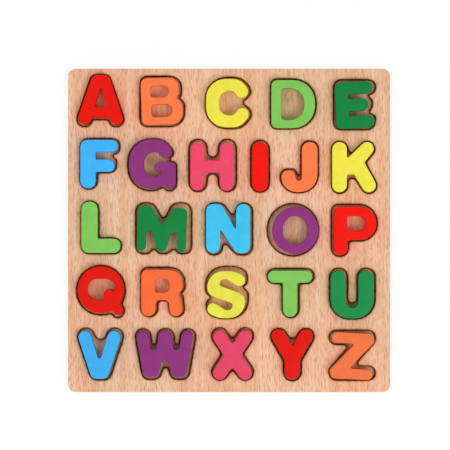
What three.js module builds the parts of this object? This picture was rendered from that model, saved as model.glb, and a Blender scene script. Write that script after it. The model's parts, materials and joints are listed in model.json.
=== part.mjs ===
// A wooden alphabet puzzle: a square board of two glued sheets and 26 loose painted letters.
// The upper sheet is cut through with a pocket for every letter, the lower sheet closes the
// pockets from below, and each letter stands proud of the board so that fingers can lift it.
// Millimetres, +Z up. The origin is under the middle of the board, on the face it rests on.

import * as THREE from 'three';

// Sheets of the board
const BACK_THICKNESS = 3;
const TOP_THICKNESS = 3;
const BOARD_CORNER_RADIUS = 7;

// Setting-out of the pockets on the board
const LETTER_GAP = 11; // wood between two pockets of the fullest row
const ROW_GAP = 9.4; // wood between the tallest pockets of two rows
const SIDE_MARGIN = 11.5;
const HEAD_MARGIN = 8.4;
const FOOT_MARGIN = 10.9;

// Letters and the room that they have in their pockets
const LETTER_THICKNESS = 12;
const EDGE_EASE = 0.5; // chamfer that takes the sharp edge off a letter
const PLAY = 1.2; // gap all round a letter that lies in the middle of its pocket
const COVE_RADIUS = 3; // tightest inside corner of a pocket
const STEM = 13; // width of an upright limb
const ARM = 11.1; // height of a level limb
const BRANCH = 12.2; // width of a slanting limb
const CHORD_ERROR = 0.18; // how far a facet may lie from the true arc
const SHORTEST_FACET = 0.2;

// Paints
const RED = '#e32519';
const ORANGE = '#fb7e4c';
const YELLOW = '#efe44c';
const LIME = '#82c75e';
const GREEN = '#22864a';
const BLUE = '#46b4fa';
const PURPLE = '#923e7f';
const PINK = '#f0506e';
const BEECH = '#e4b08d';

// An outline is a list of corners [x, y, radius], counter-clockwise about the letter's centre.
// Where a letter has a deep notch, the pocket has only a shallow one, and the corners of both
// are kept together in the list.
const notch = (inLetter, inPocket) => ({ inLetter, inPocket });

// The two corners of a limb with a round end: the end's centre, the limb's direction and radius.
function roundEnd(x, y, degrees, radius) {
  const angle = THREE.MathUtils.degToRad(degrees);
  const along = new THREE.Vector2(Math.cos(angle), Math.sin(angle)).multiplyScalar(radius);
  const across = new THREE.Vector2(-along.y, along.x);
  return [
    [x + along.x - across.x, y + along.y - across.y, radius],
    [x + along.x + across.x, y + along.y + across.y, radius],
  ];
}

// A counter with upright sides, whose left and right corners have radii of their own.
function counterBox(left, bottom, right, top, leftRadius, rightRadius) {
  return [
    [left, bottom, leftRadius],
    [right, bottom, rightRadius],
    [right, top, rightRadius],
    [left, top, leftRadius],
  ];
}

// Two like halves of an outline that maps onto itself by half a turn.
function halfTurn(corners) {
  const turn = ([x, y, radius]) => [-x, -y, radius];
  const turned = corners.map((item) =>
    Array.isArray(item) ? turn(item) : notch(item.inLetter.map(turn), item.inPocket.map(turn)),
  );
  return [...corners, ...turned];
}

// The letters. Each function takes half the letter's width and half its height and returns the
// outline and the counters, which go right through the letter.
const SHAPES = {
  a(side, top) {
    const foot = 5.7;
    const crossbar = 6.6 - top;
    return {
      outline: [
        ...roundEnd(foot - side, foot - top, -110, foot),
        [-8, crossbar, 2],
        [8, crossbar, 2],
        ...roundEnd(side - foot, foot - top, -70, foot),
        [7.2, top, 5],
        [-7.2, top, 5],
      ],
      counters: [[[-5.5, -7, 0.8], [5.5, -7, 0.8], [0, 13.2, 0.8]]],
    };
  },
  b(side, top) {
    const lobe = side - 3;
    return {
      outline: [
        [-side, -top, 5],
        [side, -top, 11],
        [side, -1.5, 10],
        [side - 6.3, 2.7, 1.2],
        [lobe, 6.2, 9],
        [lobe, top, 9],
        [-side, top, 5],
      ],
      counters: [
        counterBox(8.7 - side, 3.5, lobe - 9, top - 7, 3, 5.5),
        counterBox(8.9 - side, 7 - top, side - 9.5, -2.5, 3, 6),
      ],
    };
  },
  c(side, top) {
    const tip = 6;
    const inner = top - 10.8;
    const inside = STEM - 1 - side;
    return {
      outline: [
        [-side, top, 18],
        [-side, -top, 18],
        [11.5, -top, 13],
        ...roundEnd(side - tip, -10.6, 55, tip),
        notch([[5.5, -inner, 5], [inside, -inner, 9], [inside, inner, 9], [5.5, inner, 5]], []),
        ...roundEnd(side - tip - 0.8, 10.8, -55, tip),
        [11.5, top, 13],
      ],
      counters: [],
    };
  },
  d(side, top) {
    const inner = top - 7.3;
    return {
      outline: [[-side, -top, 5], [side, -top, 20], [side, top, 20], [-side, top, 5]],
      counters: [counterBox(9.1 - side, -inner, side - 9.8, inner, 3, 13)],
    };
  },
  e(side, top) {
    const tip = ARM / 2;
    const slot = top - ARM;
    const middle = side - 4.5;
    const upper = side - 2.2;
    const inside = STEM - 1.4 - side;
    const slotMiddle = (slot + tip) / 2;
    return {
      outline: [
        [-side, -top, 5],
        [side, -top, tip],
        [side, -slot, tip],
        notch([[inside, -slot, 1.5], [inside, -tip, 1.5]], [[middle - 7, -slotMiddle, 0]]),
        [middle, -tip, tip],
        [middle, tip, tip],
        notch([[inside, tip, 1.5], [inside, slot, 1.5]], [[middle - 7.4, slotMiddle, 0]]),
        [upper, slot, tip],
        [upper, top, tip],
        [-side, top, 5],
      ],
      counters: [],
    };
  },
  f(side, top) {
    const tip = ARM / 2;
    const slot = top - ARM;
    const middle = side - 3;
    const inside = STEM + 0.9 - side;
    return {
      outline: [
        [-side, -top, STEM / 2],
        [inside, -top, STEM / 2],
        [inside, -7, 1],
        [middle, -7, tip],
        [middle, ARM - 7, tip],
        notch([[inside, ARM - 7, 1], [inside, slot, 1]], [[middle - 9.4, (slot + ARM - 7) / 2, 0]]),
        [side, slot, tip],
        [side, top, tip],
        [-side, top, 6],
      ],
      counters: [],
    };
  },
  g(side, top) {
    const tip = 5.5;
    const shelf = 4.1;
    const inner = top - 11.5;
    const inside = STEM + 0.4 - side;
    const [under, over] = roundEnd(side - tip - 3, 11.6, -55, tip);
    return {
      outline: [
        [-side, top, 20],
        [-side, -top, 20],
        [4, -top, 14],
        [11.2, 4.6 - top, 1],
        [13.2, -top, 4.5],
        [side, -top, 5.5],
        [side, 1.5, 3.5],
        notch(
          [
            [1.5, 1.5, shelf],
            [1.5, 1.5 - 2 * shelf, shelf],
            [8, 1.5 - 2 * shelf, 0.8],
            [8, 2 - inner, 2],
            [3.5, -inner - 0.6, 5],
            [inside, -inner - 0.6, 10],
            [inside, inner, 10],
            [4, inner, 5],
            under,
          ],
          [[8.6, 3.2, 0]],
        ),
        over,
        [10.4, top, 14],
      ],
      counters: [],
    };
  },
  h(side, top) {
    const limb = side - STEM;
    const bar = ARM / 2;
    return {
      outline: halfTurn([
        [-side, -top, STEM / 2],
        [-limb, -top, STEM / 2],
        notch([[-limb, -bar, 1], [limb, -bar, 1]], [[-limb, -bar, limb], [limb, -bar, limb]]),
        [limb, -top, STEM / 2],
        [side, -top, STEM / 2],
      ]),
      counters: [],
    };
  },
  i(side, top) {
    return { outline: counterBox(-side, -top, side, top, side, side), counters: [] };
  },
  j(side, top) {
    const hook = 6.6;
    const inside = side - STEM - 1.4;
    const gap = 2 * hook - side;
    return {
      outline: [
        [side, -top, 16],
        [side, top, STEM / 2],
        [inside, top, STEM / 2],
        notch([[inside, -12.7, 2.7], [gap, -12.7, 2.7]], [[inside, -8.6, 0], [gap, -8.6, 0]]),
        [gap, -3, hook],
        [-side, -3, hook],
        [-side, -top, 15],
      ],
      counters: [],
    };
  },
  k(side, top) {
    const arm = BRANCH / 2 - 0.3;
    const leg = BRANCH / 2 + 0.2;
    const stem = STEM + 0.4 - side;
    return {
      outline: [
        [-side, -top, STEM / 2],
        [stem, -top, STEM / 2],
        notch([[stem, -6.7, 1.5], [0.3, -6.7, 1.5]], [[stem, -9.2, 0], [1.6, -9.2, 0]]),
        ...roundEnd(side - leg, leg - top, -60, leg),
        [9.3, 4.3, 1],
        ...roundEnd(side - arm - 2.2, top - arm, 45, arm),
        [stem, 7.2, 1],
        [stem, top, STEM / 2],
        [-side, top, STEM / 2],
      ],
      counters: [],
    };
  },
  l(side, top) {
    const foot = ARM + 0.9 - top;
    const stem = STEM + 1 - side;
    return {
      outline: [
        [-side, -top, 6],
        [side, -top, ARM / 2],
        [side, foot, ARM / 2],
        [stem, foot, 1],
        [stem, top, STEM / 2],
        [-side, top, STEM / 2],
      ],
      counters: [],
    };
  },
  m(side, top) {
    const leg = 4;
    const foot = 3.6;
    const inside = side - 2 * leg;
    const wall = side + 0.8;
    return {
      outline: [
        notch([[-side, -top, leg]], [[-wall, -top, leg]]),
        [-inside, -top, leg],
        notch([[-inside, -2.5, 2.3], [-8.5, -2.5, 2.3]], [[-inside, 5.2 - top, 0], [-4.6, 5.2 - top, 0]]),
        [-foot, -top, foot],
        [foot, -top, foot],
        notch([[8.5, -2.5, 2.3], [inside, -2.5, 2.3]], [[4.6, 5.2 - top, 0], [inside, 5.2 - top, 0]]),
        [inside, -top, leg],
        notch([[side, -top, leg]], [[wall, -top, leg]]),
        notch([[side, top - 1, 5.5]], [[wall, top, 5.5]]),
        notch([[10, top - 1, 5.5]], [[10, top, 5.5]]),
        notch([[0, 3, 1.2]], [[0, 1.5, 0]]),
        [-11.2, top, 5.5],
        notch([[-side, top, 5.5]], [[-wall, top, 5.5]]),
      ],
      counters: [],
    };
  },
  n(side, top) {
    const limb = side - STEM;
    return {
      outline: [
        [-side, -top, STEM / 2],
        [-limb, -top, STEM / 2],
        notch([[-limb, 0.5, 0.8]], [[-limb, -6, 0]]),
        [7.4, -top, STEM / 2],
        [side, -top, STEM / 2],
        [side, top, STEM / 2],
        [limb, top, STEM / 2],
        notch([[limb, -2.3, 0.8]], [[limb, 2.2, 0]]),
        [-6.3, top, STEM / 2],
        [-side, top, STEM / 2],
      ],
      counters: [],
    };
  },
  o(side, top) {
    const inside = side - 9.8;
    const inner = top - 8.6;
    return {
      outline: counterBox(-side, -top, side, top, side, side),
      counters: [counterBox(-inside, -inner, inside, inner, inside, inside)],
    };
  },
  p(side, top) {
    const stem = STEM - 0.4 - side;
    return {
      outline: [
        [-side, -top, STEM / 2],
        [stem, -top, STEM / 2],
        [stem, -8, 1],
        [side, -8, 14],
        [side, top, 15],
        [-side, top, 5],
      ],
      counters: [counterBox(12.2 - side, 0.3, side - 9.8, top - 8.7, 1.2, 6.8)],
    };
  },
  q(side, top) {
    const tail = 5.2;
    const bowl = 2.8 - top;
    return {
      outline: [
        [-side, top, 21],
        [-side, bowl, 20.5],
        [4, bowl, 18],
        [11.3, bowl + 1.9, 0.8],
        ...roundEnd(side - tail - 1.2, tail - top, -50, tail),
        [17.6, bowl + 8.6, 0.8],
        [side, -3, 14],
        [side, top, 21],
      ],
      counters: [
        [
          [-12.5, -8.3, 9.5],
          [3.2, -8.3, 1.8],
          [2.6, 0.6, 3.4],
          [10.2, 2, 2.6],
          [12, -2, 1.4],
          [14, 5.5, 3],
          [8.5, 11.3, 8],
          [-12.5, 11.3, 9.5],
        ],
      ],
    };
  },
  r(side, top) {
    const leg = STEM / 2;
    const lobe = side - 0.4;
    const inside = side - STEM;
    return {
      outline: [
        [-side, -top, leg],
        [STEM - side, -top, leg],
        [STEM - side, -6.5, 4],
        [inside, -6.5, 4],
        [inside + 0.8, -top, leg],
        [side, -top, leg],
        [side - 2.4, -3.6, 7],
        [side - 5.4, -1.4, 1],
        [lobe, 2.6, 7.5],
        [lobe, top, 12.5],
        [-side, top, 5],
      ],
      counters: [counterBox(12.6 - side, 0.4, lobe - 11.8, top - 8, 1.5, 4.5)],
    };
  },
  s(side, top) {
    const tip = 5.4;
    return {
      outline: halfTurn([
        [-8.4, -top, 18],
        [side, -top, 15],
        [side, -0.3, 9],
        notch(
          [[-6.8, 8.4, 2.4], [-4.6, 14.2, 3.2], [0.5, 14.4, 3], ...roundEnd(side - tip, top - 8.7, -30, tip)],
          [[7.6, 5.2, 0], [side - 1, 9, tip], [side - 1, top - 4, tip]],
        ),
      ]),
      counters: [],
    };
  },
  t(side, top) {
    const stem = STEM / 2;
    const under = top - ARM;
    return {
      outline: [
        [-stem, -top, stem],
        [stem, -top, stem],
        [stem, under, 1],
        [side, under, ARM / 2],
        [side, top, ARM / 2],
        [-side, top, ARM / 2],
        [-side, under, ARM / 2],
        [-stem, under, 1],
      ],
      counters: [],
    };
  },
  u(side, top) {
    const slot = side - STEM - 0.8;
    return {
      outline: [
        [-side, -top, 17],
        [side, -top, 17],
        [side, top, STEM / 2],
        [slot, top, STEM / 2],
        notch([[slot, -12.3, slot], [-slot, -12.3, slot]], [[slot, -10.5, slot], [-slot, -10.5, slot]]),
        [-slot, top, STEM / 2],
        [-side, top, STEM / 2],
      ],
      counters: [],
    };
  },
  v(side, top) {
    const tip = BRANCH / 2;
    return {
      outline: [
        [-7, -top, 5],
        [7, -top, 5],
        ...roundEnd(side - tip, top - tip, 70, tip),
        notch([[0, -8.5, 2]], [[0, -6, 7.5]]),
        ...roundEnd(tip - side, top - tip, 110, tip),
      ],
      counters: [],
    };
  },
  w(side, top) {
    const tip = 5.6;
    return {
      outline: [
        [-19.3, -top, 4.8],
        [-7, -top, 4.8],
        [0, 3.5, 3.5],
        [7, -top, 4.8],
        [19.3, -top, 4.8],
        ...roundEnd(side - tip, top - tip, 77, tip),
        notch([[13.6, 3.8, 3], [7.5, 3.8, 3]], [[15, 6.6, 0], [6.3, 6.6, 0]]),
        ...roundEnd(0, top - tip, 90, tip),
        notch([[-7.5, 3.8, 3], [-13.6, 3.8, 3]], [[-6.3, 6.6, 0], [-15, 6.6, 0]]),
        ...roundEnd(tip - side, top - tip, 103, tip),
      ],
      counters: [],
    };
  },
  x(side, top) {
    const tip = BRANCH / 2 + 0.2;
    return {
      outline: [
        ...roundEnd(side - tip, top - tip, 55, tip),
        [0, top - 13.2, 1.5],
        ...roundEnd(tip - side, top - tip, 125, tip),
        [9.8 - side, 0, 1.5],
        ...roundEnd(tip - side, tip - top, -125, tip),
        [0, 12.4 - top, 1.5],
        ...roundEnd(side - tip, tip - top, -55, tip),
        [side - 9.8, 0, 1.5],
      ],
      counters: [],
    };
  },
  y(side, top) {
    const tip = BRANCH / 2 + 0.2;
    const stem = STEM / 2 + 0.4;
    return {
      outline: [
        [-stem, -top, stem],
        [stem, -top, stem],
        [stem, -5.5, 4],
        ...roundEnd(side - tip, top - tip, 60, tip),
        notch([[0, top - 16.6, 1.5]], [[0, top - 15.4, 6]]),
        ...roundEnd(tip - side, top - tip, 120, tip),
        [-stem, -5.5, 4],
      ],
      counters: [],
    };
  },
  z(side, top) {
    const bar = 9.6;
    const shoulder = top - 8;
    const crook = 2.5;
    return {
      outline: halfTurn([
        [-side, -top, 5],
        [side, -top, bar / 2],
        [side, bar - top, bar / 2],
        [-crook, bar - top, 1.5],
        [side, shoulder, 4],
      ]),
      counters: [],
    };
  },
};

// The alphabet in rows. Each letter has its width and height, its paint, how its pocket is nudged
// from the even setting-out [x, y], and how the letter lies in the pocket: [x, y] and how it leans,
// as shares of the play. Some pockets have more room than the common play, and a few have less.
const ROWS = [
  {
    a: { size: [41, 45.8], paint: RED, nudge: [-3.3, 2.9], lie: [0.5, 0.35], lean: -0.2 },
    b: { size: [38, 43.2], paint: ORANGE, nudge: [-5.3, 2.2], lie: [-0.13, -0.16], lean: 0.52, room: 0.4 },
    c: { size: [39.9, 44.5], paint: YELLOW, nudge: [-2.7, 0.7], lie: [-0.73, -0.27], room: 0.2 },
    d: { size: [40.2, 44.1], paint: LIME, nudge: [-1.8, -0.1], lie: [-0.37, -0.57], room: -0.2 },
    e: { size: [35, 42.7], paint: GREEN, nudge: [-2.4, -0.8], lie: [-0.17, -0.39], lean: 0.7, room: 0.5 },
  },
  {
    f: { size: [34.6, 44.7], paint: BLUE, nudge: [-0.2, 2.2], lie: [-0.37, -0.37], room: -0.2 },
    g: { size: [43.1, 45.9], paint: PURPLE, nudge: [-3.7, 1.3], lie: [0.43, 0.59], room: -0.2 },
    h: { size: [40.1, 44.7], paint: PINK, nudge: [-3.3, 0.8], lie: [-0.26, -0.64], lean: -0.17, room: 0.7 },
    i: { size: [14.7, 45.7], paint: RED, nudge: [-1.1, 0.1], lie: [-0.08, -0.58], room: 0.1 },
    j: { size: [33.4, 45.9], paint: ORANGE, nudge: [-2, -0.4], lie: [-0.21, -0.59], room: -0.3 },
    k: { size: [40.1, 46.3], paint: YELLOW, nudge: [-0.8, -1], lie: [-0.7, 0.14], room: -0.3 },
  },
  {
    l: { size: [34.9, 46.2], paint: LIME, nudge: [0.7, 1.4], lie: [0.02, 0.18] },
    m: { size: [45.2, 42.2], paint: GREEN, nudge: [0.8, 0.6], lie: [-0.57, -0.22], lean: -0.4, room: 1.2 },
    n: { size: [40.8, 45.4], paint: BLUE, nudge: [0.6, 0], lie: [-0.76, 0.34], room: 0.1 },
    o: { size: [42.7, 43.7], paint: PURPLE, nudge: [1, -0.8], lie: [0.86, -0.23], room: 1.2 },
    p: { size: [39.2, 44.7], paint: RED, nudge: [-0.4, -1.4], lie: [0.23, -0.3], room: 0.5 },
  },
  {
    q: { size: [42.3, 45.9], paint: RED, nudge: [-3.5, -0.1], lie: [0.12, 0.58], room: 0.1 },
    r: { size: [38.5, 43], paint: ORANGE, nudge: [-4.9, -0.5], lie: [-0.6, -0.47], room: 0.1 },
    s: { size: [35, 43.5], paint: YELLOW, nudge: [-1.8, -0.8], lie: [-0.36, -0.77], room: 1.1 },
    t: { size: [41, 42.8], paint: LIME, nudge: [-0.5, -1.5], lie: [-0.63, -0.29], room: 0.1 },
    u: { size: [39.3, 44], paint: GREEN, nudge: [-2.3, -2], lie: [-0.45, -0.44], room: 0.3 },
  },
  {
    v: { size: [38.4, 44.4], paint: BLUE, nudge: [-2.6, 0.1], lie: [-0.28, -0.13], room: 0.6 },
    w: { size: [51.1, 42.7], paint: PURPLE, nudge: [-5.3, 0.1], lie: [-0.19, 0.26], room: 0.9 },
    x: { size: [35.8, 46], paint: PINK, nudge: [-4.4, 0.1], lie: [-0.05, -0.42], room: 0.2 },
    y: { size: [37.8, 46], paint: RED, nudge: [-2.3, -0.5], lie: [-0.32, 0.7], room: 0.1 },
    z: { size: [39.3, 42.7], paint: ORANGE, nudge: [-2.3, -1], lie: [-0.3, -0.2], lean: -0.66, room: 0.5 },
  },
];

// Rounds the corners of a closed outline. An arc that would take up more of a side than is there
// is drawn smaller, together with the arc at the side's other end.
function roundedPath(corners) {
  const count = corners.length;
  const points = corners.map(([x, y]) => new THREE.Vector2(x, y));
  const neighbour = (index, step) => points[(index + step + count) % count];
  const bends = corners.map(([, , radius], index) => {
    const back = neighbour(index, -1).clone().sub(points[index]);
    const ahead = neighbour(index, 1).clone().sub(points[index]);
    const side = ahead.length();
    const half = Math.abs(back.angleTo(ahead)) / 2;
    const reach = radius / Math.tan(half);
    return { side, half, reach, back: back.normalize(), ahead: ahead.normalize() };
  });
  const shares = bends.map(({ side, reach }, index) => {
    const nextReach = bends[(index + 1) % count].reach;
    return Math.min(1, side / (reach + nextReach));
  });
  const path = [];
  bends.forEach(({ back, ahead, half, reach }, index) => {
    const share = Math.min(shares[index], shares[(index + count - 1) % count]);
    const radius = reach * share * Math.tan(half);
    const inward = back.clone().add(ahead).normalize();
    const centre = points[index].clone().addScaledVector(inward, radius / Math.sin(half));
    const start = points[index].clone().addScaledVector(back, reach * share);
    const sweep = (Math.PI - 2 * half) * Math.sign(ahead.cross(back));
    const facetAngle = Math.sqrt((8 * CHORD_ERROR) / radius);
    const facets = Math.max(1, Math.ceil(Math.abs(sweep) / facetAngle));
    for (let facet = 0; facet <= facets; facet += 1) {
      path.push(start.clone().rotateAround(centre, (sweep * facet) / facets));
    }
  });
  return path.filter((point, index) => {
    const next = path[(index + 1) % path.length];
    return point.distanceTo(next) > SHORTEST_FACET;
  });
}

// The outline of a letter, and that of its pocket: the same sides moved outwards by the play,
// with wider outside corners and inside corners no tighter than the cutter leaves them.
function letterCorners(outline) {
  return outline.flatMap((item) => (Array.isArray(item) ? [item] : item.inLetter));
}

function pocketCorners(outline, play) {
  const corners = outline.flatMap((item) => (Array.isArray(item) ? [item] : item.inPocket));
  const count = corners.length;
  const outward = corners.map(([x, y], index) => {
    const [nextX, nextY] = corners[(index + 1) % count];
    return new THREE.Vector2(nextY - y, x - nextX).normalize();
  });
  return corners.map(([x, y, radius], index) => {
    const before = outward[(index + count - 1) % count];
    const after = outward[index];
    const move = before.clone().add(after).multiplyScalar(play / (1 + before.dot(after)));
    const convex = before.cross(after) > 0;
    return [x + move.x, y + move.y, convex ? radius + play : Math.max(radius - play, COVE_RADIUS)];
  });
}

// Setting-out: the fullest row sets the board's width, every row is spread over that width with
// even gaps, and the rows stand below each other.
const rows = ROWS.map((row) =>
  Object.entries(row).map(([name, letter]) => {
    const [width, height] = letter.size;
    const { outline, counters } = SHAPES[name](width / 2, height / 2);
    const play = PLAY + (letter.room ?? 0);
    const pocket = roundedPath(pocketCorners(outline, play));
    const box = new THREE.Box2().setFromPoints(pocket);
    const span = box.getSize(new THREE.Vector2());
    const turn = ((letter.lean ?? 0) * play) / (height / 2);
    return { ...letter, name, outline, counters, play, turn, pocket, box, span };
  }),
);
const rowWidth = (row) => row.reduce((sum, { span }) => sum + span.x, 0);
const rowHeight = (row) => Math.max(...row.map(({ span }) => span.y));
const innerWidth = Math.max(...rows.map((row) => rowWidth(row) + LETTER_GAP * (row.length - 1)));
const innerDepth = rows.reduce((sum, row) => sum + rowHeight(row), ROW_GAP * (rows.length - 1));
const boardWidth = innerWidth + 2 * SIDE_MARGIN;
const boardDepth = innerDepth + HEAD_MARGIN + FOOT_MARGIN;

let rowTop = boardDepth / 2 - HEAD_MARGIN;
for (const row of rows) {
  const gap = (innerWidth - rowWidth(row)) / (row.length - 1);
  let left = -innerWidth / 2;
  for (const letter of row) {
    const [nudgeX, nudgeY] = letter.nudge;
    const middle = letter.box.getCenter(new THREE.Vector2());
    letter.x = left + letter.span.x / 2 - middle.x + nudgeX;
    letter.y = rowTop - rowHeight(row) / 2 - middle.y + nudgeY;
    left += letter.span.x + gap;
  }
  rowTop -= rowHeight(row) + ROW_GAP;
}
const letters = rows.flat();

function boardOutline() {
  const side = boardWidth / 2;
  const head = boardDepth / 2;
  const radius = BOARD_CORNER_RADIUS;
  return roundedPath(counterBox(-side, -head, side, head, radius, radius));
}

const wood = () => new THREE.MeshStandardMaterial({ color: BEECH, roughness: 0.6, metalness: 0 });
const paint = (color) => new THREE.MeshStandardMaterial({ color, roughness: 0.45, metalness: 0 });

function addMesh(parent, name, geometry, material) {
  const mesh = new THREE.Mesh(geometry, material);
  mesh.name = name;
  parent.add(mesh);
  return mesh;
}

// The lower sheet, plain, which is the floor of all the pockets.
function backPanel() {
  const sheet = new THREE.Shape(boardOutline());
  return new THREE.ExtrudeGeometry(sheet, { depth: BACK_THICKNESS, bevelEnabled: false });
}

// The upper sheet, cut through with the pockets.
function topPanel() {
  const sheet = new THREE.Shape(boardOutline());
  for (const { pocket, x, y } of letters) {
    const hole = pocket.map((point) => new THREE.Vector2(point.x + x, point.y + y));
    sheet.holes.push(new THREE.Path(hole));
  }
  return new THREE.ExtrudeGeometry(sheet, { depth: TOP_THICKNESS, bevelEnabled: false });
}

// A letter sawn from thicker board, its edges eased all round and in the counters.
function letterBlock({ outline, counters }) {
  const face = new THREE.Shape(roundedPath(letterCorners(outline)));
  face.holes = counters.map((counter) => new THREE.Path(roundedPath(counter)));
  const block = new THREE.ExtrudeGeometry(face, {
    depth: LETTER_THICKNESS - 2 * EDGE_EASE,
    bevelThickness: EDGE_EASE,
    bevelSize: EDGE_EASE,
    bevelOffset: -EDGE_EASE,
    bevelSegments: 1,
  });
  return block.translate(0, 0, EDGE_EASE);
}

const puzzle = new THREE.Group();
addMesh(puzzle, 'back_panel', backPanel(), wood());
addMesh(puzzle, 'top_panel', topPanel(), wood()).position.z = BACK_THICKNESS;
for (const letter of letters) {
  const mesh = addMesh(puzzle, `letter_${letter.name}`, letterBlock(letter), paint(letter.paint));
  const [lieX, lieY] = letter.lie;
  mesh.position.set(letter.x + lieX * letter.play, letter.y + lieY * letter.play, BACK_THICKNESS);
  mesh.rotation.z = letter.turn;
}

export default puzzle;
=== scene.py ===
import json
import math

import bpy
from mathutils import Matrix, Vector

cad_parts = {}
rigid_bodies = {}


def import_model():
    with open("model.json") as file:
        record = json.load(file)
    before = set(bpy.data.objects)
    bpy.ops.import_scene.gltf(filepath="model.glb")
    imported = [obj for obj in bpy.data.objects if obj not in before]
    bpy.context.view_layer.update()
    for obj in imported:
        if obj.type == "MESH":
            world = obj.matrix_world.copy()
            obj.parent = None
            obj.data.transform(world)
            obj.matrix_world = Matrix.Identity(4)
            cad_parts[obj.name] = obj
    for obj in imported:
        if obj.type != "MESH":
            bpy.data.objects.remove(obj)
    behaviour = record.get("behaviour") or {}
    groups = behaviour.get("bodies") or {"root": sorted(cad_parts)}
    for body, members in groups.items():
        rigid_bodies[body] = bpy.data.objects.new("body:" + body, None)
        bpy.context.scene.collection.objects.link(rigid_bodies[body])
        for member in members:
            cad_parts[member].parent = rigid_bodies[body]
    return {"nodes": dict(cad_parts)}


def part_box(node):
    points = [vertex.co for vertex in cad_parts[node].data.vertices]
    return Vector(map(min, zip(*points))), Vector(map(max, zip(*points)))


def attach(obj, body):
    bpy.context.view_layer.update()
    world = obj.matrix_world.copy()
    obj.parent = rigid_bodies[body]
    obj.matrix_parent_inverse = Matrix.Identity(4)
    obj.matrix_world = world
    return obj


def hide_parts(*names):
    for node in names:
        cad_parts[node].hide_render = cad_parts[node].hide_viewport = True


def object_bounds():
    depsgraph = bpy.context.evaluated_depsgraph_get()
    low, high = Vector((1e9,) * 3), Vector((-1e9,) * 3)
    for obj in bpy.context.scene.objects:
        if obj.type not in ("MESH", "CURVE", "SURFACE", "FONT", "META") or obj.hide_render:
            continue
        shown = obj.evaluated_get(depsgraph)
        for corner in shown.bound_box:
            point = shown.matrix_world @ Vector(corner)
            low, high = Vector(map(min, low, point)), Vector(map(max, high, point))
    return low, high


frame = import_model()
cad_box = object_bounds()

# Back panel: the plain lower sheet of beech-faced plywood, which closes the pockets from below.
# It is glued under the top sheet, sawn to size together with it and sanded along the edges.
MM = 0.001
SANDED_EDGE = 0.3 * MM
EDGE_STRIP = 3 * MM
PLY_PAIR = 2 * MM
BEECH_BAND, BEECH_PALE_BAND, BEECH_BLUSH = "#e6b38e", "#efc8a9", "#ecb38e"
DARK_STREAK, PALE_STREAK = "#d9986f", "#f6d3b8"
LONG_FLECK, SHORT_FLECK = "#c27d55", "#c98459"
# Toast brown and char black, laid on by rings along the pockets: the beam's burn at the rims on the
# face, and painted shade in the fringe beyond them and on the pocket floors.
TOAST_AND_SHADE, CHAR_AND_SHADE_BLACK = "#a8661d", "#2e1507"
PLY_ACROSS, PLY_ALONG, PLY_FIBRE = "#b98457", "#dcb085", "#a87449"

# Outlines: how near points count as one or as level, how straights and arcs are divided, and from
# which turn or slope on there is an edge or a flat face.
FACET_WELD = 0.002 * MM
OUTLINE_WELD = 0.005 * MM
LEVEL_SLACK = 0.01 * MM
LONGEST_STEP = 6 * MM
STRAIGHT_CUTS = 3
ARC_ORDER = 3
ARC_STEPS = 3
CREASE = math.radians(30)
FLAT_NORMAL = 0.7

# Stretches of pocket outline that the cutter took in one soft wave, in mm: the reach in x and in y
# of what the wave replaces, and the wave's own points, which the arcs then round.
E_POCKET_WAVE = (
    (126.5, 140),
    (103, 139.2),
    (
        (128.5, 139.3), (131.2, 138.9), (133.7, 137.4), (135.2, 134.9), (135.5, 132.2),
        (134.8, 129.3), (132.9, 127), (130.6, 126), (129.2, 125.3), (128.9, 124.3),
        (129.7, 123), (131.4, 121.4), (132.6, 118.9), (132.6, 115.9), (131.6, 113),
        (130.2, 110.8), (129.8, 109.2), (130.6, 107.9), (132.8, 107.2), (134.7, 105.9),
        (135.3, 104.3),
    ),
)
M_POCKET_LEFT_BUMP = (
    (-75, -64.9),
    (-21.3, -16),
    (
        (-73.6, -20.6), (-71.9, -18.9), (-70.4, -17.5),
        (-68.6, -17.4), (-67, -18.8), (-65.6, -20.5),
    ),
)
M_POCKET_RIGHT_BUMP = (
    (-57, -46),
    (-21.3, -16),
    (
        (-55.6, -20.6), (-53.9, -19), (-52.3, -17.7),
        (-50.4, -17.6), (-48.8, -18.9), (-47.2, -20.6),
    ),
)
SOFT_WAVES = (E_POCKET_WAVE, M_POCKET_LEFT_BUMP, M_POCKET_RIGHT_BUMP)

# Rings on the pocket floors, from the walls inwards: the width of each in mm, and how dark the wood
# is painted at its inner side, from 0 for clean to 1 for black: painted shade of the deep pockets.
# Points of a ring that crowd together at a corner, closer than this many times its width, become
# one.
CROWDING = 1.1
FLOOR_SHADE_RINGS = (
    (0.4, 0.5), (0.4, 0.44), (0.4, 0.38), (0.6, 0.34), (0.6, 0.3),
    (0.5, 0.26), (0.5, 0.23), (0.5, 0.19), (0.5, 0.16),
)


def only(piece):
    """Makes a piece the one selected and active object."""
    bpy.ops.object.select_all(action="DESELECT")
    piece.select_set(True)
    bpy.context.view_layer.objects.active = piece


def select_edges(piece, wanted):
    """Opens a piece in edit mode, its edges selected where wanted(sharp, start, end) is true."""
    bpy.ops.object.mode_set(mode="EDIT")
    bpy.ops.mesh.select_mode(type="EDGE")
    bpy.ops.mesh.select_all(action="DESELECT")
    bpy.ops.mesh.edges_select_sharp(sharpness=CREASE)
    bpy.ops.object.mode_set(mode="OBJECT")
    points = piece.data.vertices
    for edge in piece.data.edges:
        ends = [points[index].co for index in edge.vertices]
        edge.select = wanted(edge.select, *ends)
    bpy.ops.object.mode_set(mode="EDIT")


def at_level(height, *points):
    """True if all the points lie at a height."""
    return all(abs(point.z - height) < LEVEL_SLACK for point in points)


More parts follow.
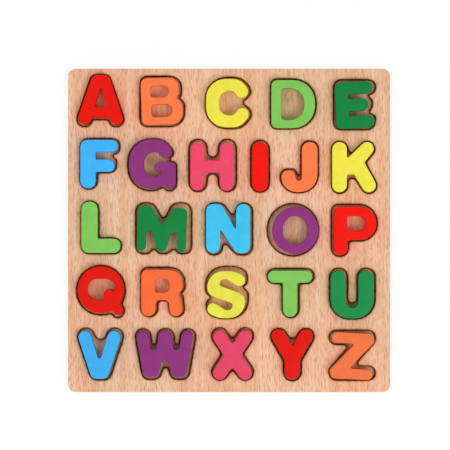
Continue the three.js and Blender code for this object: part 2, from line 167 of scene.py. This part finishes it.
def outline_of(node, name, height, reshape=None):
    """The sharp outline of a sheet or a block at a height, holes included, as one flat curve."""
    piece = bpy.data.objects.new(name, frame["nodes"][node].data.copy())
    piece.data.materials.clear()
    bpy.context.collection.objects.link(piece)
    only(piece)
    bpy.ops.mesh.customdata_custom_splitnormals_clear()
    bpy.ops.object.mode_set(mode="EDIT")
    bpy.ops.mesh.select_all(action="SELECT")
    bpy.ops.mesh.remove_doubles(threshold=FACET_WELD)
    bpy.ops.object.mode_set(mode="OBJECT")
    select_edges(piece, lambda sharp, start, end: sharp and at_level(height, start, end))
    bpy.ops.mesh.select_all(action="INVERT")
    bpy.ops.mesh.delete(type="EDGE")
    bpy.ops.mesh.select_all(action="SELECT")
    bpy.ops.mesh.delete_loose(use_verts=True, use_edges=False)
    bpy.ops.object.mode_set(mode="OBJECT")
    if reshape:
        reshape(piece)
    select_edges(piece, lambda sharp, start, end: (end - start).length > LONGEST_STEP)
    bpy.ops.mesh.subdivide(number_cuts=STRAIGHT_CUTS)
    bpy.ops.object.mode_set(mode="OBJECT")
    bpy.ops.object.convert(target="CURVE")
    return bpy.context.active_object


def smoothed(piece):
    """Draws arcs through the facets of an outline."""
    bpy.ops.object.mode_set(mode="EDIT")
    bpy.ops.curve.select_all(action="SELECT")
    bpy.ops.curve.spline_type_set(type="NURBS")
    bpy.ops.object.mode_set(mode="OBJECT")
    for spline in piece.data.splines:
        spline.order_u = ARC_ORDER
        spline.resolution_u = ARC_STEPS
        spline.use_cyclic_u = True


def sawn(piece, low, high, edge, steps):
    """Fills a smoothed outline from low to high and rounds its edges."""
    smoothed(piece)
    curve = piece.data
    curve.dimensions = "2D"
    curve.fill_mode = "BOTH"
    curve.extrude = (high - low) / 2 - edge
    curve.bevel_depth = edge
    curve.bevel_resolution = steps
    curve.offset = -edge
    bpy.ops.object.convert(target="MESH")
    piece.location = (0, 0, (low + high) / 2)
    bpy.ops.object.transform_apply(location=True, rotation=False, scale=False)
    bpy.ops.object.mode_set(mode="EDIT")
    bpy.ops.mesh.select_all(action="SELECT")
    bpy.ops.mesh.remove_doubles(threshold=OUTLINE_WELD)
    bpy.ops.mesh.normals_make_consistent(inside=False)
    bpy.ops.object.mode_set(mode="OBJECT")


def linear(colour):
    """A colour written as in a paint book, #rrggbb, as the shader's linear value."""
    parts = [int(colour[start:start + 2], 16) / 255 for start in (1, 3, 5)]
    return [p / 12.92 if p <= 0.04045 else ((p + 0.055) / 1.055) ** 2.4 for p in parts] + [1]


def add(tree, kind, inputs=None, **settings):
    """Adds a shader node, sets its options, and fills its sockets with values or links."""
    node = tree.nodes.new("ShaderNode" + kind)
    for option, value in settings.items():
        setattr(node, option, value)
    for socket, value in (inputs or {}).items():
        if isinstance(value, bpy.types.NodeSocket):
            tree.links.new(value, node.inputs[socket])
        else:
            node.inputs[socket].default_value = value
    return node


def new_finish(name):
    """An empty material and its shader."""
    finish = bpy.data.materials.new(name)
    finish.use_nodes = True
    tree = finish.node_tree
    return finish, tree, tree.nodes["Principled BSDF"]


def stretched(tree, scale):
    """The piece's own coordinates in metres, times a scale for each axis."""
    place = add(tree, "TexCoord").outputs["Object"]
    return add(tree, "Mapping", {"Vector": place, "Scale": scale}).outputs["Vector"]


def noise(tree, scale, detail=3, roughness=0.5, distortion=0):
    """A cloudy pattern, drawn out by the scale of each axis."""
    inputs = {"Vector": stretched(tree, scale), "Scale": 1, "Detail": detail}
    inputs |= {"Roughness": roughness, "Distortion": distortion}
    return add(tree, "TexNoise", inputs).outputs["Fac"]


def spread(tree, value, low, high, to_low=0, to_high=1):
    """Maps a range of a pattern smoothly onto another range."""
    inputs = {"Value": value, "From Min": low, "From Max": high}
    inputs |= {"To Min": to_low, "To Max": to_high}
    return add(tree, "MapRange", inputs, interpolation_type="SMOOTHSTEP").outputs["Result"]


def times(tree, first, second):
    """Two patterns, or a pattern and a number, multiplied."""
    return add(tree, "Math", {0: first, 1: second}, operation="MULTIPLY").outputs["Value"]


def tint(tree, share, under, over):
    """One colour laid over another by the share that a pattern gives."""
    node = add(tree, "Mix", {"Factor": share}, data_type="RGBA")
    for socket, colour in ((node.inputs[6], under), (node.inputs[7], over)):
        if isinstance(colour, bpy.types.NodeSocket):
            tree.links.new(colour, socket)
        else:
            socket.default_value = linear(colour)
    return node.outputs[2]


def flecks(tree, columns, rows):
    """Short upright dashes, one to a cell, and more or less plain by chance."""
    cells = add(
        tree,
        "TexVoronoi",
        {"Vector": stretched(tree, (columns, rows, 0)), "Scale": 1, "Randomness": 1},
        voronoi_dimensions="2D",
    )
    chance = add(tree, "SeparateColor", {"Color": cells.outputs["Color"]}).outputs["Red"]
    dash = spread(tree, cells.outputs["Distance"], 0.42, 0.12)
    return times(tree, dash, spread(tree, chance, 0.2, 0.95))


def beech_colour(tree):
    """Steamed beech, grain along Y: wide soft bands, fine streaks and short red-brown flecks."""
    bands = spread(tree, noise(tree, (42, 2.2, 42), detail=2, distortion=0.6), 0.3, 0.7)
    blush = spread(tree, noise(tree, (14, 7, 14), detail=2), 0.42, 0.68)
    dark_streaks = spread(tree, noise(tree, (560, 14, 560), detail=4, roughness=0.65), 0.42, 0.72)
    pale_streaks = spread(tree, noise(tree, (410, 20, 410), detail=3, roughness=0.6), 0.48, 0.7)
    wood = tint(tree, bands, BEECH_BAND, BEECH_PALE_BAND)
    wood = tint(tree, times(tree, blush, 0.5), wood, BEECH_BLUSH)
    wood = tint(tree, times(tree, dark_streaks, 0.4), wood, DARK_STREAK)
    wood = tint(tree, times(tree, pale_streaks, 0.55), wood, PALE_STREAK)
    wood = tint(tree, times(tree, flecks(tree, 640, 90), 0.65), wood, LONG_FLECK)
    wood = tint(tree, times(tree, flecks(tree, 980, 150), 0.55), wood, SHORT_FLECK)
    return wood, dark_streaks


def beech_face(name):
    """The sanded veneer, darkened by the pocket rings: burn at the rims, painted shade beyond and
    on floors.
    """
    finish, tree, shader = new_finish(name)
    wood, streaks = beech_colour(tree)
    char_and_shade = add(tree, "Attribute", attribute_name="char_and_shade").outputs["Fac"]
    ragged = spread(tree, noise(tree, (700, 260, 700), detail=2), 0.3, 0.7, 0.8, 1.15)
    char_and_shade = times(tree, char_and_shade, ragged)
    # Browned and blackened by the rings' attribute: the beam's burn at the pocket rims, painted
    # shade further out on the face and on the pocket floors.
    wood = tint(tree, spread(tree, char_and_shade, 0, 0.6, 0, 0.8), wood, TOAST_AND_SHADE)
    wood = tint(tree, spread(tree, char_and_shade, 0.4, 0.85), wood, CHAR_AND_SHADE_BLACK)
    tree.links.new(wood, shader.inputs["Base Color"])
    tree.links.new(spread(tree, streaks, 0, 1, 0.56, 0.66), shader.inputs["Roughness"])
    bump = add(tree, "Bump", {"Height": streaks, "Strength": 0.25, "Distance": 0.05 * MM})
    tree.links.new(bump.outputs["Normal"], shader.inputs["Normal"])
    shader.inputs["Specular IOR Level"].default_value = 0.08
    return finish


def ply_edge(name):
    """The sawn edge of the plywood: plies of 1 mm, along and across the grain in turn."""
    finish, tree, shader = new_finish(name)
    wobble = times(tree, noise(tree, (30, 30, 0), detail=2), 0.12)
    place = add(tree, "TexCoord").outputs["Object"]
    height = add(tree, "SeparateXYZ", {"Vector": place}).outputs["Z"]
    counted = {0: height, 1: 1 / PLY_PAIR, 2: wobble}
    ply = add(tree, "Math", counted, operation="MULTIPLY_ADD").outputs["Value"]
    turn = add(tree, "Math", {0: ply, 1: 0.5}, operation="PINGPONG").outputs["Value"]
    fibres = spread(tree, noise(tree, (260, 260, 2600), detail=3), 0.35, 0.7)
    wood = tint(tree, spread(tree, turn, 0.2, 0.3), PLY_ACROSS, PLY_ALONG)
    wood = tint(tree, times(tree, fibres, 0.45), wood, PLY_FIBRE)
    tree.links.new(wood, shader.inputs["Base Color"])
    bump = add(tree, "Bump", {"Height": fibres, "Strength": 0.4, "Distance": 0.08 * MM})
    tree.links.new(bump.outputs["Normal"], shader.inputs["Normal"])
    shader.inputs["Roughness"].default_value = 0.75
    shader.inputs["Specular IOR Level"].default_value = 0.2
    return finish


def at_outside(point):
    """True on the outer edge of the board, false in the pockets."""
    inset_x = min(point.x - board_low.x, board_high.x - point.x)
    inset_y = min(point.y - board_low.y, board_high.y - point.y)
    return min(inset_x, inset_y) < EDGE_STRIP


def select_level(piece, height):
    """Opens a sheet in edit mode with its faces at a height selected."""
    bpy.ops.object.mode_set(mode="EDIT")
    bpy.ops.mesh.select_mode(type="FACE")
    bpy.ops.mesh.select_all(action="DESELECT")
    bpy.ops.object.mode_set(mode="OBJECT")
    points = piece.data.vertices
    for face in piece.data.polygons:
        face.select = at_level(height, *(points[index].co for index in face.vertices))
    bpy.ops.object.mode_set(mode="EDIT")


def recut_pockets(piece):
    """Draws the pockets' outlines anew where the cutter went round a notch in one soft wave."""
    mesh = piece.data
    for (left, right), (foot, head), path in SOFT_WAVES:
        bpy.ops.object.mode_set(mode="EDIT")
        bpy.ops.mesh.select_mode(type="VERT")
        bpy.ops.mesh.select_all(action="DESELECT")
        bpy.ops.object.mode_set(mode="OBJECT")
        for point in mesh.vertices:
            x, y = point.co.x / MM, point.co.y / MM
            point.select = left < x < right and foot < y < head
        bpy.ops.object.mode_set(mode="EDIT")
        bpy.ops.mesh.delete(type="VERT")
        bpy.ops.object.mode_set(mode="OBJECT")
        used = [index for edge in mesh.edges for index in edge.vertices]
        ends = [point.index for point in mesh.vertices if used.count(point.index) == 1]
        ends.sort(key=lambda index: math.dist(mesh.vertices[index].co.xy / MM, path[0]))
        chain = [ends[0], *range(len(mesh.vertices), len(mesh.vertices) + len(path)), ends[1]]
        level = mesh.vertices[ends[0]].co.z
        mesh.vertices.add(len(path))
        for index, (x, y) in zip(chain[1:], path):
            mesh.vertices[index].co = (x * MM, y * MM, level)
        first_edge = len(mesh.edges)
        mesh.edges.add(len(chain) - 1)
        for index, pair in enumerate(zip(chain, chain[1:]), first_edge):
            mesh.edges[index].vertices = pair


def mark_floors(sheet):
    """Splits the upper face of a sheet along the pockets above it and selects their floors."""
    rims = outline_of("top_panel", "pocket_rims", board_low.z, recut_pockets)
    smoothed(rims)
    bpy.ops.object.convert(target="MESH")
    select_edges(rims, lambda sharp, start, end: at_outside(start))
    bpy.ops.mesh.delete(type="VERT")
    bpy.ops.mesh.select_all(action="SELECT")
    bpy.ops.mesh.mark_seam()
    bpy.ops.object.mode_set(mode="OBJECT")
    only(sheet)
    select_level(sheet, back_top)
    bpy.ops.mesh.delete(type="FACE")
    bpy.ops.object.mode_set(mode="OBJECT")
    rims.select_set(True)
    bpy.ops.object.join()
    select_edges(sheet, lambda sharp, start, end: at_level(back_top, start, end))
    bpy.ops.mesh.fill()
    select_level(sheet, back_bottom)
    bpy.ops.mesh.select_linked(delimit={"SEAM"})
    bpy.ops.mesh.select_all(action="INVERT")


def char_and_shade_rings(piece, rings):
    """Draws rings along the pockets on the selected faces and notes how dark each is made: burn and
    painted shade.
    """
    bpy.ops.mesh.hide(unselected=True)
    bpy.ops.mesh.beautify_fill(angle_limit=math.pi)
    bpy.ops.mesh.select_all(action="SELECT")
    bpy.ops.object.mode_set(mode="OBJECT")
    char_and_shade = piece.data.attributes.new("char_and_shade", "FLOAT", "POINT")
    for point, level in zip(piece.data.vertices, char_and_shade.data):
        level.value = 0 if at_outside(point.co) else 1
    for width, darkness in rings:
        bpy.ops.object.mode_set(mode="EDIT")
        bpy.ops.mesh.inset(thickness=width * MM, use_boundary=True, use_even_offset=False)
        bpy.ops.mesh.remove_doubles(threshold=CROWDING * width * MM)
        bpy.ops.mesh.beautify_fill(angle_limit=math.pi)
        bpy.ops.object.mode_set(mode="OBJECT")
        inner = {index for face in piece.data.polygons if face.select for index in face.vertices}
        levels = piece.data.attributes["char_and_shade"].data
        for index in inner:
            if not at_outside(piece.data.vertices[index].co):
                levels[index].value = darkness
    bpy.ops.object.mode_set(mode="EDIT")
    bpy.ops.mesh.reveal(select=False)
    bpy.ops.mesh.select_all(action="SELECT")
    bpy.ops.mesh.normals_make_consistent(inside=False)
    bpy.ops.object.mode_set(mode="OBJECT")


beech = beech_face("beech_face")
edge_ply = ply_edge("plywood_edge")
back_bottom, back_top = (corner.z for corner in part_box("back_panel"))
board_low, board_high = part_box("top_panel")

back = outline_of("back_panel", "back_sheet", back_top)
sawn(back, back_bottom, back_top, SANDED_EDGE, 2)
mark_floors(back)
# The pocket floors are darkened in rings, most along the walls and a little all over: painted shade
# of the deep, narrow pockets.
char_and_shade_rings(back, FLOOR_SHADE_RINGS)
bpy.ops.object.shade_smooth_by_angle(angle=CREASE)
back.data.materials.append(beech)
back.data.materials.append(edge_ply)
for face in back.data.polygons:
    face.material_index = 0 if abs(face.normal.z) > FLAT_NORMAL else 1
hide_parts("back_panel")
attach(back, "board")

# Top panel: the upper sheet, cut through with a pocket for every letter by a hot beam, which
# chars the walls of the pockets and leaves a dark line round each of them on the face.
WALL_BROWN, WALL_BURN, WALL_RIM = "#6b3a18", "#3d1e09", "#150801"
# Rings on the face along the pockets: the near-black at the edge is the beam's burn; the brown
# fringe out to 2 mm is partly smoke stain and partly painted shade of the letters standing proud.
RIM_CHAR_AND_SHADE_RINGS = (
    (0.2, 0.75), (0.25, 0.58), (0.25, 0.45), (0.3, 0.33), (0.3, 0.23), (0.35, 0.12), (0.35, 0),
)


def charred_wall(name):
    """The wall of a pocket: brown, streaked upright by the beam, black at the upper rim."""
    finish, tree, shader = new_finish(name)
    place = add(tree, "TexCoord").outputs["Object"]
    height = add(tree, "SeparateXYZ", {"Vector": place}).outputs["Z"]
    rise = spread(tree, height, back_top, board_high.z)
    burns = spread(tree, noise(tree, (900, 900, 60), detail=3), 0.3, 0.7)
    wood = tint(tree, burns, WALL_BROWN, WALL_BURN)
    wood = tint(tree, times(tree, rise, 0.8), wood, WALL_RIM)
    tree.links.new(wood, shader.inputs["Base Color"])
    bump = add(tree, "Bump", {"Height": burns, "Strength": 0.5, "Distance": 0.1 * MM})
    tree.links.new(bump.outputs["Normal"], shader.inputs["Normal"])
    shader.inputs["Roughness"].default_value = 0.85
    shader.inputs["Specular IOR Level"].default_value = 0.15
    return finish


top = outline_of("top_panel", "pocket_sheet", board_high.z, recut_pockets)
sawn(top, board_low.z, board_high.z, SANDED_EDGE, 1)
select_level(top, board_high.z)
char_and_shade_rings(top, RIM_CHAR_AND_SHADE_RINGS)
bpy.ops.object.shade_smooth_by_angle(angle=CREASE)
for finish in (beech, edge_ply, charred_wall("charred_wall")):
    top.data.materials.append(finish)
for face in top.data.polygons:
    if abs(face.normal.z) < FLAT_NORMAL:
        face.material_index = 1 if at_outside(face.center) else 2
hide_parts("top_panel")
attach(top, "board")

# Letters: 26 loose blocks, sawn from solid board, eased along all edges and sprayed all over
# with a satin paint that lets a trace of the grain show in raking light.
# Paints and their batches; the darker tones of q and y, s, v, x and z are painted shade, the same
# paints darkened for the light falling off towards the foot of the board.
PAINT_BATCHES_AND_SHADE = (
    ("paint_red", "#e61204", "a"),
    ("paint_red", "#de1405", "qy"),
    ("paint_red", "#f01204", "ip"),
    ("paint_orange", "#fa7b45", "bj"),
    ("paint_orange", "#fc6d38", "r"),
    ("paint_orange", "#ec7443", "z"),
    ("paint_yellow", "#ede247", "ck"),
    ("paint_yellow", "#e5df4d", "s"),
    ("paint_lime", "#7ec459", "dlt"),
    ("paint_green", "#11803d", "em"),
    ("paint_green", "#1d8a49", "u"),
    ("paint_blue", "#3fb2f8", "f"),
    ("paint_blue", "#40c1ed", "n"),
    ("paint_blue", "#40acec", "v"),
    ("paint_purple", "#8c3379", "gow"),
    ("paint_pink", "#ec4767", "h"),
    ("paint_pink", "#e04665", "x"),
)
EASED_EDGE = 0.5 * MM
E_ARM_LEFT, E_ARM_FOOT = 122 * MM, 124.5 * MM
E_ARM_GROWTH, E_ARM_RISE = 2.2 * MM, 0.12 * MM


def satin_paint(name, colour):
    """Sprayed paint: an even colour, a faint mottle, a fine orange peel and the grain below it."""
    finish, tree, shader = new_finish(name)
    mottle = spread(tree, noise(tree, (110, 110, 110), detail=4, roughness=0.6), 0.3, 0.7)
    shade = add(tree, "HueSaturation", {"Color": linear(colour)})
    tree.links.new(spread(tree, mottle, 0, 1, 0.96, 1.03), shade.inputs["Value"])
    tree.links.new(shade.outputs["Color"], shader.inputs["Base Color"])
    tree.links.new(spread(tree, mottle, 0, 1, 0.45, 0.55), shader.inputs["Roughness"])
    peel = noise(tree, (1500, 1500, 1500), detail=2)
    grain = noise(tree, (800, 24, 800), detail=3)
    height = add(tree, "Math", {0: peel, 1: grain}, operation="ADD").outputs["Value"]
    bump = add(tree, "Bump", {"Height": height, "Strength": 0.18, "Distance": 0.05 * MM})
    tree.links.new(bump.outputs["Normal"], shader.inputs["Normal"])
    shader.inputs["Specular IOR Level"].default_value = 0.1
    return finish


def lengthen_upper_arm(piece):
    """Draws out the upper arm of the E to nearly the length of the lower one."""
    for point in piece.data.vertices:
        if point.co.x > E_ARM_LEFT and point.co.y > E_ARM_FOOT:
            point.co.x += E_ARM_GROWTH
            point.co.y += E_ARM_RISE


for slot, colour, names in PAINT_BATCHES_AND_SHADE:
    paint = satin_paint(f"{slot}_{names}", colour)
    for name in names:
        node = f"letter_{name}"
        low, high = (corner.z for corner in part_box(node))
        reshape = lengthen_upper_arm if name == "e" else None
        letter = outline_of(node, f"painted_{node}", high - EASED_EDGE, reshape)
        sawn(letter, low, high, EASED_EDGE, 3)
        bpy.ops.object.shade_smooth_by_angle(angle=CREASE)
        letter.data.materials.append(paint)
        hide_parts(node)
        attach(letter, node)

# Studio: a white floor that keeps a soft shadow, pale light all round and two large lamps high
# above the board, the stronger one at its right and towards its foot.
FLOOR_SIZE = 6
FLOOR_DROP = 0.2 * MM
WHITE_SHARE = 0.85
SKY_STRENGTH = 0.69
LAMP_SIZE = 1.2
LAMPS = (("right_lamp", (1.3, -1.0, 2.4), 27), ("left_lamp", (-1.5, -0.4, 2.4), 10))


def seen_directly(tree):
    """1 for what the camera sees, straight on or mirrored in gloss, and 0 for the light itself."""
    rays = add(tree, "LightPath")
    seen = rays.outputs["Is Camera Ray"]
    for other in ("Is Glossy Ray", "Is Transmission Ray"):
        pair = {0: seen, 1: rays.outputs[other]}
        seen = add(tree, "Math", pair, operation="MAXIMUM").outputs["Value"]
    return seen


bpy.ops.object.select_all(action="DESELECT")
bpy.ops.mesh.primitive_plane_add(size=FLOOR_SIZE, location=(0, 0, cad_box[0].z - FLOOR_DROP))
floor = bpy.context.active_object
floor.name = "floor"
floor_finish, tree, shader = new_finish("white_floor")
shader.inputs["Base Color"].default_value = linear("#f4f4f4")
shader.inputs["Roughness"].default_value = 0.9
glow = add(tree, "Emission", {"Color": (1, 1, 1, 1), "Strength": 1})
white = times(tree, seen_directly(tree), WHITE_SHARE)
cover = add(tree, "MixShader", {0: white, 1: shader.outputs["BSDF"], 2: glow.outputs["Emission"]})
tree.links.new(cover.outputs["Shader"], tree.nodes["Material Output"].inputs["Surface"])
floor.data.materials.append(floor_finish)

world = bpy.data.worlds.new("studio")
bpy.context.scene.world = world
world.use_nodes = True
tree = world.node_tree
sky = tree.nodes["Background"]
sky.inputs["Color"].default_value = (1, 1, 1, 1)
levels = {"Value": seen_directly(tree), "To Min": SKY_STRENGTH, "To Max": 1}
strength = add(tree, "MapRange", levels)
tree.links.new(strength.outputs["Result"], sky.inputs["Strength"])

for name, place, power in LAMPS:
    bpy.ops.object.light_add(type="AREA", location=place)
    lamp = bpy.context.active_object
    lamp.name = name
    lamp.data.shape = "DISK"
    lamp.data.size = LAMP_SIZE
    lamp.data.energy = power
    lamp.visible_camera = False
    lamp.rotation_euler = (-lamp.location).to_track_quat("-Z", "Y").to_euler()

# Camera: straight above the board, a little off its centre, as the photograph was taken.
VIEW_WIDTH = 416.3 * MM
VIEW_CENTRE = (-3.8 * MM, 5.0 * MM)
VIEW_DISTANCE = 2.0

bpy.ops.object.camera_add(location=(*VIEW_CENTRE, board_high.z + VIEW_DISTANCE), rotation=(0, 0, 0))
camera = bpy.context.active_object
camera.name = "camera"
camera.data.lens = camera.data.sensor_width * VIEW_DISTANCE / VIEW_WIDTH
bpy.context.scene.camera = camera
bpy.context.scene.view_settings.view_transform = "Standard"
